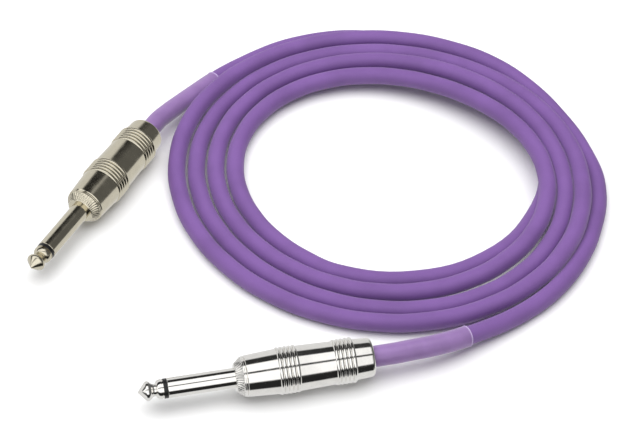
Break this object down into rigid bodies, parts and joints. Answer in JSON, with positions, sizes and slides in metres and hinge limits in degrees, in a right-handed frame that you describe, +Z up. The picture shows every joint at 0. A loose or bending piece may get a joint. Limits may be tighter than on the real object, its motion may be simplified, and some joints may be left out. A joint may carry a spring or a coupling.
{
  "type": "instrument cable",
  "caption": "Coiled instrument cable with a straight quarter-inch mono plug at each end; each plug's beaded metal shell unscrews and slides back from its fluted collar.",
  "frame": {"origin": "on the table that the cable lies on, at the middle of the box round the two plugs' metal parts", "axes": "+Z up from the table; plug B lies along X with its tip towards -X; the coil lies towards +X, and plug A lies behind plug B, towards +Y"},
  "size_m": [0.1962, 0.1708, 0.015],
  "materials": {
    "bright_plate": "polished nickel plate on turned brass",
    "warm_plate": "nickel plate on turned brass, a little warm",
    "black_insulator": "smooth black moulding",
    "pale_insulator": "natural nylon",
    "fibre": "pressed fibre",
    "tinned_sheet": "tinned sheet metal",
    "solder": "dull solder",
    "copper_screen": "twisted copper strands",
    "core_insulation": "white core insulation",
    "liner": "thin clear-white tube",
    "jacket": "matte purple cable jacket",
    "relief_tube": "semi-gloss purple tube"
  },
  "bodies": {
    "cable": {"tip_a": "warm_plate", "tip_ring_a": "black_insulator", "rod_tube_a": "pale_insulator", "shaft_a": "warm_plate", "collar_a": "warm_plate", "washer_a": "warm_plate", "rear_disc_a": "fibre", "tip_lug_a": "tinned_sheet", "rod_nut_a": "bright_plate", "ground_lug_a": "tinned_sheet", "clamp_a": "tinned_sheet", "core_a": "core_insulation", "core_solder_a": "solder", "screen_a": "copper_screen", "screen_solder_a": "solder", "jacket_a": "jacket", "relief_a": "relief_tube", "lead_a": "jacket", "tip_b": "bright_plate", "tip_ring_b": "black_insulator", "rod_tube_b": "pale_insulator", "shaft_b": "bright_plate", "collar_b": "bright_plate", "washer_b": "bright_plate", "rear_disc_b": "fibre", "tip_lug_b": "tinned_sheet", "rod_nut_b": "bright_plate", "ground_lug_b": "tinned_sheet", "clamp_b": "tinned_sheet", "core_b": "core_insulation", "core_solder_b": "solder", "screen_b": "copper_screen", "screen_solder_b": "solder", "jacket_b": "jacket", "relief_b": "relief_tube", "lead_b": "jacket", "coil": "jacket"},
    "liner_a": {"liner_a": "liner"},
    "shell_a": {"shell_a": "warm_plate"},
    "liner_b": {"liner_b": "liner"},
    "shell_b": {"shell_b": "bright_plate"}
  },
  "joints": [
    {"name": "shell_a_slide", "type": "slide", "parent": "cable", "child": "liner_a", "axis": [0.6361, 0.7716, 0], "range_m": [0, 0.0045]},
    {"name": "shell_a_thread", "type": "hinge", "parent": "liner_a", "child": "shell_a", "pos_m": [-0.01977, 0.04143, 0.0075], "axis": [0.6361, 0.7716, 0], "range_deg": [0, 2160]},
    {"name": "shell_b_slide", "type": "slide", "parent": "cable", "child": "liner_b", "axis": [1, 0, 0], "range_m": [0, 0.0045]},
    {"name": "shell_b_thread", "type": "hinge", "parent": "liner_b", "child": "shell_b", "pos_m": [0.02375, -0.0589, 0.0075], "axis": [1, 0, 0], "range_deg": [0, 2160]}
  ],
  "couplings": [
    {"joint": "shell_a_slide", "follows": "shell_a_thread", "m_per_rad": 0.00011937},
    {"joint": "shell_b_slide", "follows": "shell_b_thread", "m_per_rad": 0.00011937}
  ]
}
